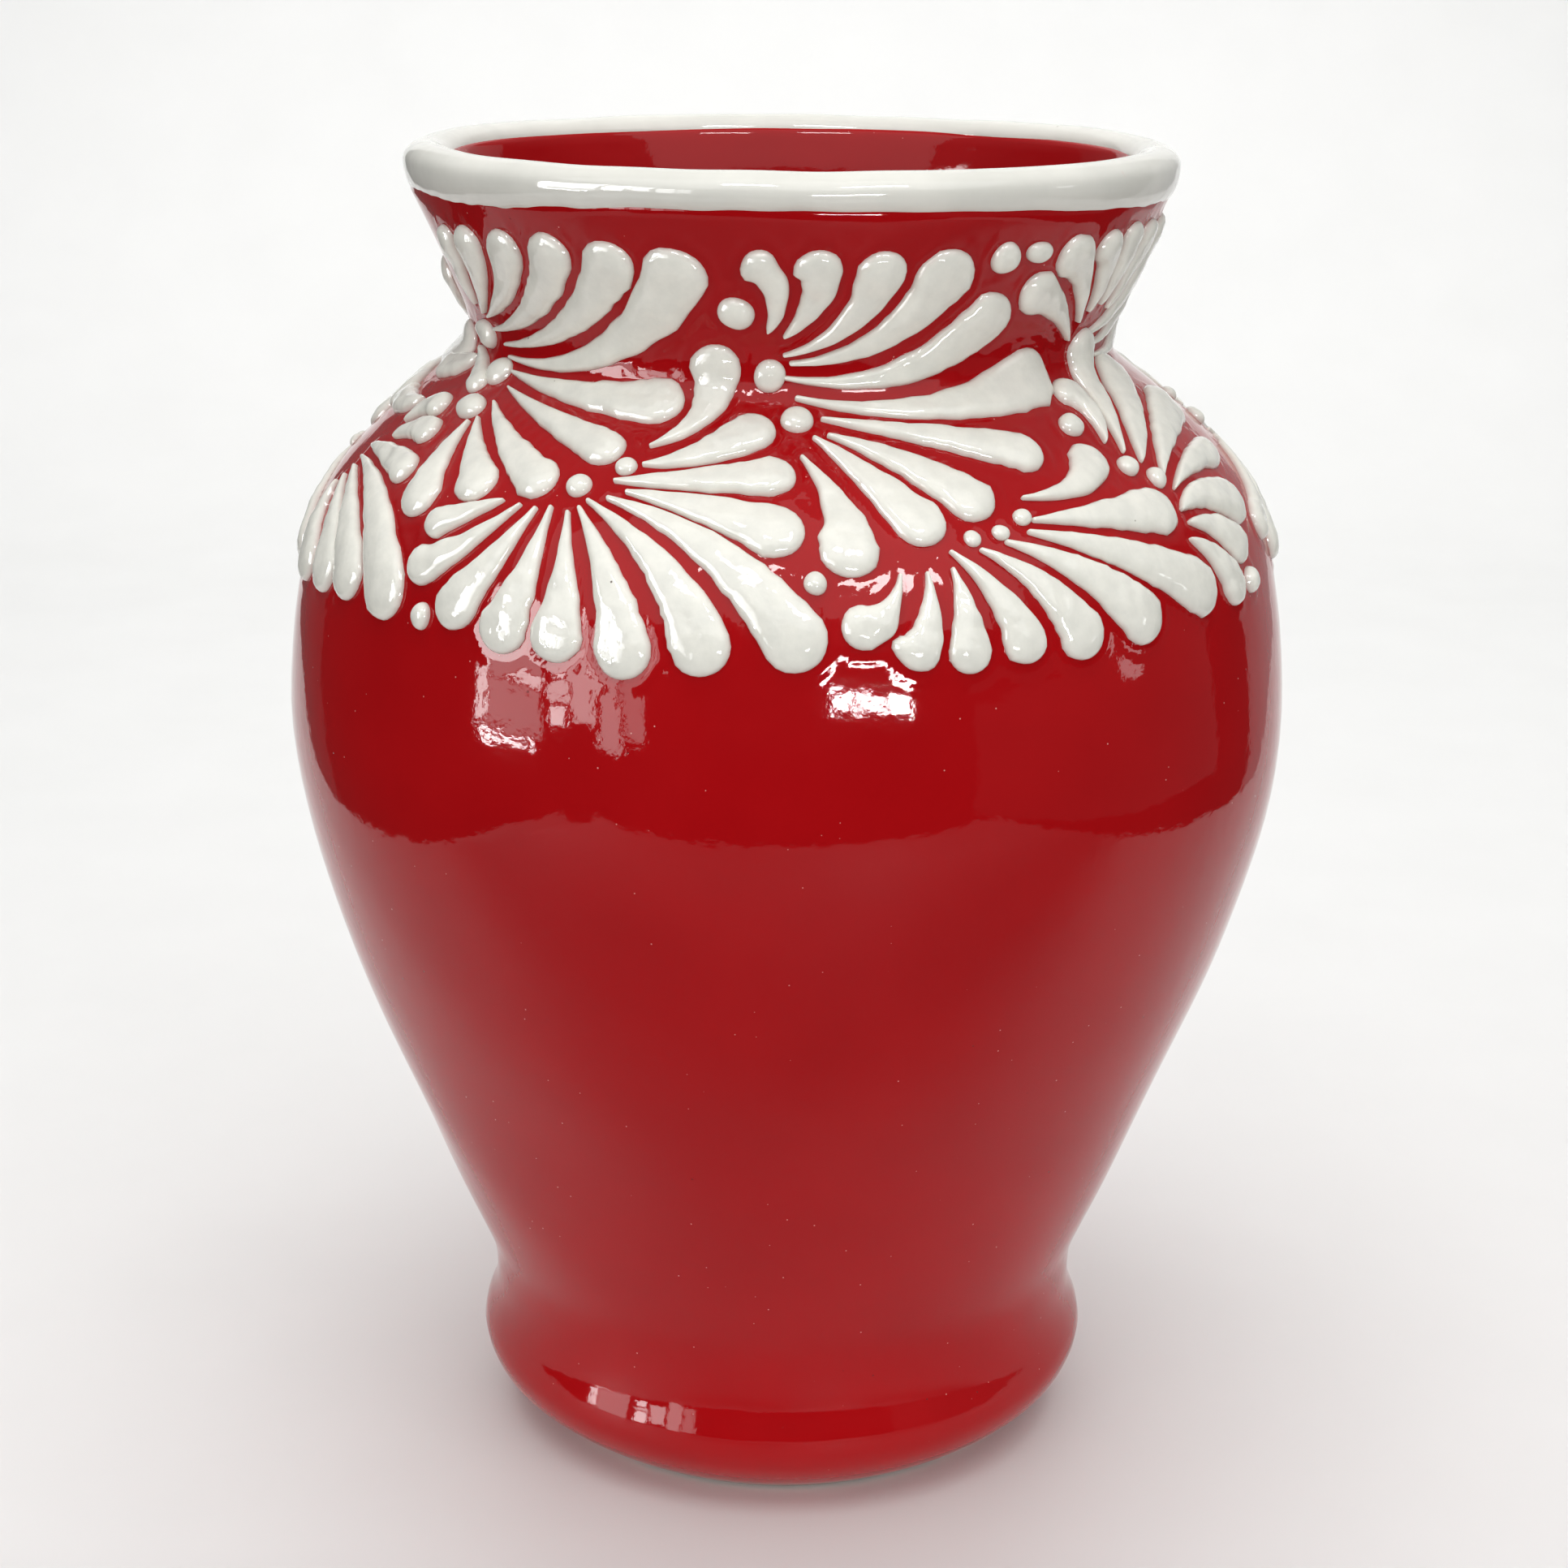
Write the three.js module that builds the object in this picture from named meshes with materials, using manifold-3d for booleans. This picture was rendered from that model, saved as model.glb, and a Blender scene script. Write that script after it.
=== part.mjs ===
// A hand-thrown earthenware vase with a rolled rim and a raised band of slip-trailed petals.
// Millimetres, +Z up, origin at the centre of the foot's resting face, front towards -Y.
import * as THREE from 'three';
import { mergeVertices } from 'three/addons/utils/BufferGeometryUtils.js';
import Module from 'manifold-3d';

const wasm = await Module();
wasm.setup();

// ---- driving dimensions ---------------------------------------------------------------

const WALL = 6.5; // thickness of the thrown wall
const FLOOR_TOP = 9; // height of the inside floor
const FLOOR_EDGE_RADIUS = 60; // where the inside floor starts to curve up
const FOOT_RADIUS = 57; // outer edge of the resting face
const FOOT_RING_WIDTH = 8; // the resting face is a flat ring
const FOOT_RECESS = 2.5; // the middle of the base is turned away by this much
const NECK_TOP = 296; // the neck ends here and the rolled rim sits on it

const RIM_TOP = 305; // overall height
const RIM_RADIUS = 81.1; // centre line of the rolled rim
const RIM_HALF_WIDTH = 5;
const RIM_SEAT_HALF_WIDTH = 2.6; // flat underside of the roll

const GAP = 0.3; // clearance between pieces that touch
const PETAL_HEIGHT = 2.3; // thickness of a stroke at its head
const FINE_LIFT = 0.6; // underside of a separate stroke above the pot's true surface
const COARSE_LIFT = 0.95; // and of the joined fans, whose facets are longer

const SIDES = 44; // facets round the pot
const OUTER_TURN = 8; // degrees of profile curve per facet, outside
const INNER_TURN = 15; // and inside

// Outside profile from the foot to the top of the neck: [radius, height]
const OUTLINE = [
  [FOOT_RADIUS, 0], [64.5, 5], [70.8, 10.5], [73.3, 14.5], [74.35, 18.5], [73.7, 22],
  [72.4, 26], [71.45, 30], [71.1, 35], [71.6, 40.5], [73.2, 46], [81.5, 66], [91, 90],
  [102.5, 120], [111, 150], [115, 174], [114.5, 193], [112, 209], [108.5, 222], [102.5, 233],
  [94, 242], [83.5, 251], [72, 262], [76.5, 278], [84, 295],
];

// ---- slip-trailed decoration ----------------------------------------------------------
// A stroke is [tail, middle, head centre, head width, taper]. Places are [azimuth in
// degrees, height]; azimuth 0 is the front, positive to the right. A taper of 1 widens
// evenly from the tail and a smaller one widens early.

const NECK_LEFT = [
  [[-63.5, 273], [-63.8, 280], [-64, 286.5], 7, 0.7],
  [[-61, 271.5], [-57.8, 278.5], [-57, 286], 9.5, 1],
  [[-59.5, 270.8], [-51.5, 277], [-47.5, 286], 10, 1],
  [[-59, 268], [-45.8, 274], [-37.8, 286], 11, 1.1],
  [[-56, 265], [-38.8, 271.3], [-27.2, 285], 11.2, 1.15],
  [[-54.5, 262.2], [-32.5, 266.3], [-16.8, 283.2], 12.8, 1.2],
  [[-52, 259.2], [-36, 257.6], [-21, 257.4], 12, 1.1],
  [[-50, 256.3], [-37, 252.8], [-25.6, 249.1], 9, 1],
  [[-50, 253.5], [-41.8, 248.3], [-33, 242.9], 9.7, 1],
  [[-50.5, 250.6], [-46, 245.5], [-41.7, 240.8], 10, 1.1],
  [[-52, 249.6], [-51.3, 243.4], [-50, 236.9], 11.2, 1.1],
];

const NECK_CENTRE = [
  [[-3.4, 272.6], [-2, 280], [-4.4, 286.3], 7, 0.6],
  [[-0.8, 271.7], [3.4, 278.5], [4.1, 285.6], 9, 0.8],
  [[-0.8, 267.7], [8.2, 273.6], [13.4, 285], 9.8, 1.25],
  [[0.3, 266], [14.2, 271], [23.3, 284], 12, 1.25],
  [[-0.5, 263], [18.3, 264], [32.2, 274.2], 12, 1.25],
  [[1.3, 259.3], [22, 257], [42.8, 260.4], 14, 1.3],
  [[5, 255.7], [20, 252.5], [33, 248.4], 10.3, 1],
  [[5.7, 253], [15, 248.4], [22.5, 241.8], 11, 1],
  [[3.6, 252.6], [9.6, 246.7], [15.3, 238.4], 11.3, 1.1],
  [[1.8, 249.3], [5.6, 242], [6.8, 234.1], 12, 1.2],
];

const NECK_RIGHT = [
  [[53.5, 267.5], [47.5, 274.5], [41.2, 279.2], 9.5, 1],
  [[54.7, 271.5], [50.8, 281], [46.5, 286.5], 10, 0.9],
  [[56.8, 273.5], [57, 281], [55, 287], 8.5, 0.8],
  [[60.5, 274.5], [62, 281], [62.5, 287.5], 9, 0.8],
  [[65, 273], [69, 281], [71, 286.5], 10, 0.8],
];

const SHOULDER_LEFT = [
  [[-36, 238.5], [-40, 235.7], [-44, 232.9], 7, 0.8],
  [[-33.3, 238.2], [-38, 231], [-43.8, 225], 8.9, 1.15],
  [[-31, 238], [-33.4, 229.8], [-37.6, 219.1], 10.8, 1.25],
  [[-29, 238.5], [-29.1, 228.3], [-30.8, 216.8], 11.6, 1.35],
  [[-26.5, 238], [-24.6, 227], [-24.3, 216.7], 11.7, 1.3],
  [[-25.3, 239], [-19.8, 228.5], [-16.9, 214.9], 11.9, 1.15],
  [[-24.5, 240.3], [-14.5, 231.1], [-8.9, 216.8], 12.6, 1.15],
  [[-22, 241], [-9, 234], [0.7, 218.2], 13.2, 1.05],
  [[-19.9, 242.3], [-10, 240.3], [-1.5, 237], 11.8, 1],
  [[-22, 243.9], [-11, 245], [-2.2, 246], 9.8, 0.85],
  [[-19, 246.9], [-12.5, 249], [-5.5, 253.3], 10.3, 1],
  [[-19, 250.1], [-13.6, 255], [-11.9, 264.8], 10, 1],
];

const SHOULDER_RIGHT = [
  [[12, 229.3], [10.5, 223.5], [7.8, 220.4], 9, 1.2],
  [[15, 229.5], [14.8, 222], [13.5, 216], 9, 1.1],
  [[18, 230], [18.7, 223], [18.8, 215], 9.2, 1.1],
  [[18.2, 233], [22.2, 225.8], [25.2, 216], 9.5, 1.15],
  [[21.9, 233], [28, 226], [32.1, 216], 11, 1.05],
  [[25.3, 234], [33.8, 227.3], [40.6, 217.3], 12.2, 1.05],
  [[28.6, 235.3], [40.6, 229], [51.4, 219.7], 12.8, 1],
  [[29.8, 237.2], [40, 236.4], [49.2, 235.4], 11.8, 1],
  [[29.7, 241], [38, 241.8], [43.2, 245.3], 10, 1.05],
];

const SHOULDER_FAR_LEFT = [
  [[-72.5, 240.6], [-65, 241], [-57.5, 240], 8, 0.7],
  [[-72, 238.3], [-59, 233.5], [-49.8, 218.8], 14, 1.15],
  [[-72, 236.3], [-64, 229.5], [-58.3, 219], 12.5, 1.1],
  [[-73.5, 234], [-68, 227], [-65, 217.8], 12, 1.1],
  [[-75.5, 232], [-75, 225], [-73, 217], 12, 1.1],
];

const SHOULDER_FAR_RIGHT = [
  [[49.5, 248], [51.6, 253], [50.4, 256.6], 8, 0.7],
  [[51.6, 245.9], [56, 254], [59.3, 264], 10.5, 1],
  [[53.7, 243.8], [60, 250], [68, 257.5], 11.5, 0.8],
  [[56, 240.8], [64, 246], [75, 249.5], 12, 1],
  [[56, 238], [64, 240.5], [73, 240.5], 8.5, 1],
  [[54.4, 234.3], [61, 235.4], [68.3, 232], 11.5, 0.8],
  [[54.4, 231.7], [59.5, 229.5], [63.5, 225], 10, 0.8],
  [[53, 228.7], [56.8, 224], [59.3, 217.9], 10, 0.8],
];

// Separate strokes at the front, one node each
const STROKE_GROUPS = {
  petal_neck_left: NECK_LEFT,
  petal_neck_centre: NECK_CENTRE,
  petal_shoulder_left: SHOULDER_LEFT,
  petal_shoulder_right: SHOULDER_RIGHT,
};

// Dots in the hearts of the front fans: [[azimuth, height], width round the pot, width up it]
const DOTS = {
  dot_neck_left_1: [[-55.8, 258.8], 8, 7],
  dot_neck_left_2: [[-54.8, 252.4], 6.5, 5],
  dot_neck_centre_1: [[-3.5, 263.3], 6, 6.5],
  dot_neck_centre_2: [[0.8, 255.6], 6, 6],
  dot_shoulder_left_1: [[-26.6, 242.6], 5.2, 5],
  dot_shoulder_left_2: [[-22.2, 246.6], 3, 3.4],
};

// Fans whose strokes run together at their hub, one node each: strokes, hub, turn in degrees
const NECK_RIGHT_FULL = [...NECK_RIGHT, ...turned(NECK_LEFT.slice(3, 6), 119)];
const JOINED_FANS = {
  fan_neck_right: [NECK_RIGHT_FULL, [57, 272.5], 0],
  fan_neck_back_right: [NECK_CENTRE, [-2, 264], 120.4],
  fan_neck_back: [NECK_LEFT, [-56, 260], 240],
  fan_neck_back_left: [NECK_CENTRE, [-2, 262.5], 240],
  fan_shoulder_far_right: [SHOULDER_FAR_RIGHT, [54.6, 240], 0],
  fan_shoulder_back_1: [SHOULDER_LEFT.slice(1, 11), [-25.5, 243], 120],
  fan_shoulder_back_2: [SHOULDER_RIGHT, [25, 234.9], 121.5],
  fan_shoulder_back_3: [SHOULDER_LEFT.slice(1, 11), [-25.5, 243], 240],
  fan_shoulder_back_4: [SHOULDER_RIGHT.slice(0, 5), [21.5, 233.5], 242],
  fan_shoulder_far_left: [SHOULDER_FAR_LEFT, [-74, 238], 0],
};

function turned(strokes, angle) {
  const turnPlace = ([azimuth, height]) => [azimuth + angle, height];
  return strokes.map(([tail, middle, head, width, taper]) =>
    [turnPlace(tail), turnPlace(middle), turnPlace(head), width, taper]);
}

// ---- materials ------------------------------------------------------------------------

const glaze = (color, roughness) => new THREE.MeshStandardMaterial({ color, roughness, metalness: 0 });
const redGlaze = () => glaze(0x9c1216, 0.15);
const whiteGlaze = () => glaze(0xe4e3db, 0.2);

// ---- the pot's surface ----------------------------------------------------------------

const OUTLINE_SAMPLES = 600;
const outline = new THREE.SplineCurve(OUTLINE.map((place) => new THREE.Vector2(...place)));
const fineOutline = outline.getPoints(OUTLINE_SAMPLES);
const fineLengths = [0];
for (let i = 1; i < fineOutline.length; i += 1) {
  fineLengths.push(fineLengths[i - 1] + fineOutline[i].distanceTo(fineOutline[i - 1]));
}

// Linear look-up in a rising list: the value that goes with key
function lookUp(key, keys, values) {
  let i = keys.findIndex((k) => k >= key);
  if (i < 1) i = 1;
  const share = (key - keys[i - 1]) / (keys[i] - keys[i - 1]);
  return values[i - 1] + share * (values[i] - values[i - 1]);
}

const outlineHeights = fineOutline.map((p) => p.y);
const outlineRadii = fineOutline.map((p) => p.x);
const lengthAtHeight = (height) => lookUp(height, outlineHeights, fineLengths);
const radiusAtLength = (length) => lookUp(length, fineLengths, outlineRadii);
const heightAtLength = (length) => lookUp(length, fineLengths, outlineHeights);

// A point above the pot's outside, by azimuth in degrees and length up the profile
function surfacePoint(azimuth, length, lift) {
  const step = 0.5;
  const dr = radiusAtLength(length + step) - radiusAtLength(length - step);
  const dz = heightAtLength(length + step) - heightAtLength(length - step);
  const size = Math.hypot(dr, dz);
  const radius = radiusAtLength(length) + (lift * dz) / size;
  const angle = THREE.MathUtils.degToRad(azimuth);
  const z = heightAtLength(length) - (lift * dr) / size;
  return new THREE.Vector3(radius * Math.sin(angle), -radius * Math.cos(angle), z);
}

// ---- thrown pieces --------------------------------------------------------------------

// The outline as a polygon with a corner wherever it has turned by turnLimit degrees
function ringsByTurn(turnLimit) {
  const longest = 32;
  const direction = (i) => fineOutline[i + 1].clone().sub(fineOutline[i]).angle();
  const rings = [0];
  for (let i = 1; i < fineOutline.length - 2; i += 1) {
    const last = rings[rings.length - 1];
    let turn = Math.abs(THREE.MathUtils.radToDeg(direction(i) - direction(last)));
    turn = Math.min(turn, 360 - turn);
    if (turn > turnLimit || fineLengths[i] - fineLengths[last] > longest) rings.push(i);
  }
  return rings;
}

// The wall's inside, one wall thickness in from the outline
function insidePoint(i) {
  const along = fineOutline[i + 1].clone().sub(fineOutline[i - 1]).normalize();
  return new THREE.Vector2(fineOutline[i].x - WALL * along.y, fineOutline[i].y + WALL * along.x);
}

function turnedSolid(profile) {
  const geometry = new THREE.LatheGeometry(profile, SIDES);
  geometry.rotateX(Math.PI / 2);
  return geometry;
}

function vaseBody() {
  const top = fineOutline[fineOutline.length - 1];
  const outside = ringsByTurn(OUTER_TURN).map((i) => fineOutline[i]);
  const inside = ringsByTurn(INNER_TURN)
    .filter((i) => i > 0)
    .map(insidePoint)
    .filter((p) => p.y > FLOOR_TOP + WALL && p.y < NECK_TOP - WALL)
    .reverse();
  const profile = [
    new THREE.Vector2(0, FOOT_RECESS),
    new THREE.Vector2(FOOT_RADIUS - FOOT_RING_WIDTH - 1, FOOT_RECESS),
    new THREE.Vector2(FOOT_RADIUS - FOOT_RING_WIDTH, 0),
    ...outside,
    new THREE.Vector2(top.x, NECK_TOP),
    new THREE.Vector2(top.x - WALL, NECK_TOP),
    ...inside,
    new THREE.Vector2(FLOOR_EDGE_RADIUS, FLOOR_TOP),
    new THREE.Vector2(0, FLOOR_TOP),
  ];
  return turnedSolid(profile);
}

// The roll is an ellipse whose underside is cut flat where it sits on the neck
function rimRoll() {
  const seat = NECK_TOP + GAP;
  const halfHeight = (RIM_TOP - seat) / 2;
  const spans = 8;
  const lowest = THREE.MathUtils.degToRad(-36);
  const sweep = Math.PI - 2 * lowest;
  const profile = [new THREE.Vector2(RIM_RADIUS + RIM_SEAT_HALF_WIDTH, seat)];
  for (let i = 0; i <= spans; i += 1) {
    const angle = lowest + (i / spans) * sweep;
    profile.push(new THREE.Vector2(
      RIM_RADIUS + RIM_HALF_WIDTH * Math.cos(angle),
      seat + halfHeight * (1 + Math.sin(angle)),
    ));
  }
  profile.push(new THREE.Vector2(RIM_RADIUS - RIM_SEAT_HALF_WIDTH, seat));
  profile.push(profile[0].clone());
  return turnedSolid(profile);
}

// ---- slip strokes ---------------------------------------------------------------------

const LONGEST_STEP = 9; // degrees round the pot
const TAIL_SHARE = 0.09; // width of the tail's tip, as a share of the head's
const ROUND_END = [0.6, 0.97]; // shares of the head's radius past its centre

// The centre line of a stroke on the unrolled surface, and its round end past the head
function strokeStations([tail, middle, head, width, taper], fewestSteps) {
  const steps = Math.max(fewestSteps, Math.ceil(Math.abs(head[0] - tail[0]) / LONGEST_STEP));
  const onSurface = ([azimuth, height]) => new THREE.Vector2(azimuth, lengthAtHeight(height));
  const [start, via, end] = [tail, middle, head].map(onSurface);
  const control = via.clone().multiplyScalar(2).sub(start.clone().add(end).multiplyScalar(0.5));
  const spine = new THREE.QuadraticBezierCurve(start, control, end);
  const stations = [];
  for (let i = 0; i <= steps; i += 1) {
    const t = i / steps;
    const point = spine.getPoint(t);
    const mmPerDegree = THREE.MathUtils.degToRad(radiusAtLength(point.y));
    const tangent = spine.getTangent(t);
    const along = new THREE.Vector2(tangent.x * mmPerDegree, tangent.y).normalize();
    const half = (width / 2) * (TAIL_SHARE + (1 - TAIL_SHARE) * t ** taper);
    stations.push({ point, along, mmPerDegree, half });
  }
  const last = stations[steps];
  for (const advance of ROUND_END) {
    const shift = last.along.clone().multiplyScalar((advance * width) / 2);
    const point = last.point.clone().add(new THREE.Vector2(shift.x / last.mmPerDegree, shift.y));
    stations.push({ ...last, point, half: (width / 2) * Math.sqrt(1 - advance ** 2) });
  }
  return stations;
}

// Loops of equal length joined into a closed skin, with the first and last loop filled in
function skinLoops(loops) {
  const count = loops[0].length;
  const positions = loops.flat().flatMap((p) => [p.x, p.y, p.z]);
  const triangles = [];
  for (let i = 0; i + 1 < loops.length; i += 1) {
    for (let k = 0; k < count; k += 1) {
      const next = (k + 1) % count;
      const [a, b] = [i * count + k, i * count + next];
      const [c, d] = [a + count, b + count];
      triangles.push(a, b, d, a, d, c);
    }
  }
  const end = (loops.length - 1) * count;
  for (let k = 1; k + 1 < count; k += 1) {
    triangles.push(0, k + 1, k);
    triangles.push(end, end + k, end + k + 1);
  }
  const geometry = new THREE.BufferGeometry();
  geometry.setAttribute('position', new THREE.Float32BufferAttribute(positions, 3));
  geometry.setIndex(triangles);
  return geometry;
}

// Section points are [share of the half width, share of the thickness]
const FINE_STROKE = {
  section: [[1, 0], [0, 0], [-1, 0], [-0.55, 0.85], [0.55, 0.85]],
  lift: FINE_LIFT,
  fewestSteps: 4,
};
const COARSE_STROKE = {
  section: [[1, 0], [0, 0], [-1, 0], [0, 1]],
  lift: COARSE_LIFT,
  fewestSteps: 3,
};

function strokeSolid(stroke, { section, lift, fewestSteps }) {
  const width = stroke[3];
  const loops = strokeStations(stroke, fewestSteps).map(({ point, along, mmPerDegree, half }) => {
    const thickness = PETAL_HEIGHT * (0.35 + 0.65 * Math.sqrt((2 * half) / width));
    return section.map(([across, up]) => {
      const azimuth = point.x + (across * half * along.y) / mmPerDegree;
      const length = point.y - across * half * along.x;
      return surfacePoint(azimuth, length, lift + up * thickness);
    });
  });
  return skinLoops(loops);
}

function dotSolid([[azimuth, height], widthRound, widthUp], lift) {
  const corners = 8;
  const length = lengthAtHeight(height);
  const mmPerDegree = THREE.MathUtils.degToRad(radiusAtLength(length));
  const levels = [[1, 0], [0.75, 0.7], [0.1, 1]];
  const loops = levels.map(([share, up]) => Array.from({ length: corners }, (_, k) => {
    const angle = (k / corners) * 2 * Math.PI;
    const round = (share * widthRound * Math.cos(angle)) / 2 / mmPerDegree;
    const along = (share * widthUp * Math.sin(angle)) / 2;
    return surfacePoint(azimuth + round, length + along, lift + up * PETAL_HEIGHT);
  }));
  return skinLoops(loops);
}

// ---- joining strokes at a hub ---------------------------------------------------------

function toManifold(geometry) {
  const bare = mergeVertices(geometry, 1e-4);
  return new wasm.Manifold(new wasm.Mesh({
    numProp: 3,
    vertProperties: new Float32Array(bare.attributes.position.array),
    triVerts: new Uint32Array(bare.index.array),
  }));
}

function toGeometry(solid) {
  const mesh = solid.getMesh();
  const geometry = new THREE.BufferGeometry();
  geometry.setAttribute('position', new THREE.Float32BufferAttribute(mesh.vertProperties, mesh.numProp));
  geometry.setIndex(Array.from(mesh.triVerts));
  return geometry;
}

// Every stroke's tail starts at the hub, so the strokes and the hub's dot are one solid
function joinedFan([strokes, hub, angle]) {
  const hubWidth = 5.5;
  const centre = [hub[0] + angle, hub[1]];
  let fan = toManifold(dotSolid([centre, hubWidth, hubWidth], COARSE_LIFT));
  for (const [, middle, head, width, taper] of turned(strokes, angle)) {
    const stroke = [centre, middle, head, width, taper];
    fan = fan.add(toManifold(strokeSolid(stroke, COARSE_STROKE)));
  }
  return toGeometry(fan);
}

// ---- assembly -------------------------------------------------------------------------

const vase = new THREE.Group();
vase.name = 'talavera_vase';

function addPiece(name, geometry, material) {
  const piece = new THREE.Mesh(geometry, material());
  piece.name = name;
  vase.add(piece);
}

addPiece('vase_body', vaseBody(), redGlaze);
addPiece('rim_roll', rimRoll(), whiteGlaze);

for (const [group, strokes] of Object.entries(STROKE_GROUPS)) {
  strokes.forEach((stroke, i) => {
    const number = String(i + 1).padStart(2, '0');
    addPiece(`${group}_${number}`, strokeSolid(stroke, FINE_STROKE), whiteGlaze);
  });
}

for (const [name, dot] of Object.entries(DOTS)) {
  addPiece(name, dotSolid(dot, FINE_LIFT), whiteGlaze);
}

for (const [name, fan] of Object.entries(JOINED_FANS)) {
  addPiece(name, joinedFan(fan), whiteGlaze);
}

export default vase;
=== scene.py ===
"""A red-glazed vase with a raised band of white slip petals, on a pale table in soft light."""
import math

import bmesh
import bpy
import numpy as np
from mathutils import Matrix, Vector
from mathutils.kdtree import KDTree


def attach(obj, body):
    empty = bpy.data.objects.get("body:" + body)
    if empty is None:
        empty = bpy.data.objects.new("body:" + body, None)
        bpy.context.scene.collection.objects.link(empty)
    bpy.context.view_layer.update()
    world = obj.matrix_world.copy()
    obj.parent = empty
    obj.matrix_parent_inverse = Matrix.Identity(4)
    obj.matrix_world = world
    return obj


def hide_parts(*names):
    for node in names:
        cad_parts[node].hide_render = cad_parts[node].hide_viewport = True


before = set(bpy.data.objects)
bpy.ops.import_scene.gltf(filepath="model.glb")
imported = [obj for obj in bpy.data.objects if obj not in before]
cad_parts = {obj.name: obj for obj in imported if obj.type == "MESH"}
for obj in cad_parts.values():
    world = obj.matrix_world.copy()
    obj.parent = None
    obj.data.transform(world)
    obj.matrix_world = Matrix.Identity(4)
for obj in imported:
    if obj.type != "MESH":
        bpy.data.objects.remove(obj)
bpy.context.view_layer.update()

MM = 0.001

# ---- the pot: the CAD part's sizes, with a slightly tighter waist above the foot ---------

# Outside profile from the foot to the top of the neck: (radius, height) in mm
OUTLINE = [
    (57, 0), (64.5, 5), (70.8, 10.5), (73.3, 14.5), (74.35, 18.5), (73.9, 21.5), (72.35, 25.5),
    (71.4, 29), (71.1, 33.5), (71.6, 40.5), (73.2, 46), (81.5, 66), (91, 90), (102.5, 120),
    (111, 150), (115, 174), (114.5, 193), (112, 209), (108.5, 222), (102.5, 233), (94, 242),
    (83.5, 251), (72, 262), (76.5, 278), (84, 295),
]
WALL = 6.5
FLOOR_TOP = 9
FLOOR_EDGE_RADIUS = 60
FOOT_RADIUS = 57
FOOT_RING_WIDTH = 8
FOOT_RECESS = 2.5
RIM_RADIUS = 81.1
RIM_HALF_WIDTH = 5
RIM_TOP = 305

# ---- slip strokes, as in the CAD part ---------------------------------------------------
# (tail, middle, head centre, head width, taper); places are (azimuth in degrees, height).
# Azimuth 0 is the front, positive to the right. A taper of 1 widens evenly from the tail.
# After that come lobes: (side: 0 left or 1 right of the stroke, share of its length, mm out, spread).

NECK_LEFT = [
    ((-63.5, 273), (-63.8, 280), (-64, 286.5), 7, 0.7),
    ((-61, 271.5), (-57.8, 278.5), (-57, 286), 9.5, 1),
    ((-59.5, 270.8), (-51.5, 277), (-47.5, 286), 10, 1, (0, 0.95, 0.5, 0.1)),
    ((-59, 268), (-45.8, 274), (-37.8, 286), 11, 1.1),
    ((-56, 265), (-38.8, 271.3), (-27.2, 285), 11.2, 1.15, (0, 1, 0.7, 0.1)),
    ((-54.5, 262.2), (-32.5, 266.3), (-16.8, 283.2), 12.8, 1.2, (0, 1, 1.2, 0.12), (1, 0.82, 0.6, 0.1)),
    ((-52, 259.2), (-36, 257.6), (-21, 257.4), 12, 1.1),
    ((-50, 256.3), (-37, 252.8), (-25.6, 249.1), 9, 1),
    ((-50, 253.5), (-41.8, 248.3), (-33, 242.9), 9.7, 1),
    ((-50.5, 250.6), (-46, 245.5), (-41.7, 240.8), 10, 1.1, (1, 0.95, 0.5, 0.1)),
    ((-52, 249.6), (-51.3, 243.4), (-50, 236.9), 11.2, 1.1),
]
NECK_CENTRE = [
    ((-3.4, 272.6), (-2, 280), (-4.4, 286.3), 7, 0.6, (0, 1, 1, 0.1)),
    ((-0.8, 271.7), (3.4, 278.5), (4.1, 285.6), 9, 0.8, (0, 1, 0.7, 0.08), (1, 0.97, 0.5, 0.08)),
    ((-0.8, 267.7), (8.2, 273.6), (13.4, 285), 9.8, 1.25, (0, 0.93, 0.6, 0.1)),
    ((0.3, 266), (14.2, 271), (23.3, 284), 12, 1.25, (0, 0.96, 0.5, 0.1), (1, 1, 0.5, 0.1)),
    ((-0.5, 263), (18.3, 264), (32.2, 274.2), 12, 1.25),
    ((1.3, 259.3), (22, 257), (42.8, 260.2), 13.8, 1.3),
    ((5, 255.7), (20, 252.5), (33, 248.4), 10.3, 1),
    ((5.7, 253), (15, 248.4), (22.5, 241.8), 11, 1),
    ((3.6, 252.6), (9.6, 246.7), (15.3, 238.4), 11.3, 1.1),
    ((1.8, 249.3), (5.6, 242), (6.8, 234.1), 12, 1.2, (1, 0.84, 1.1, 0.09)),
]
NECK_RIGHT = [
    ((53.5, 267.5), (47.5, 274.5), (41.2, 279.2), 9.5, 1, (0, 0.95, 1, 0.1)),
    ((54.7, 271.5), (50.8, 281), (46.5, 286.5), 10, 0.9, (0, 0.92, 0.8, 0.1)),
    ((56.8, 273.5), (57, 281), (55, 287), 8.5, 0.8),
    ((60.5, 274.5), (62, 281), (62.5, 287.5), 9, 0.8),
    ((65, 273), (69, 281), (71, 286.5), 10, 0.8),
]
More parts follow.
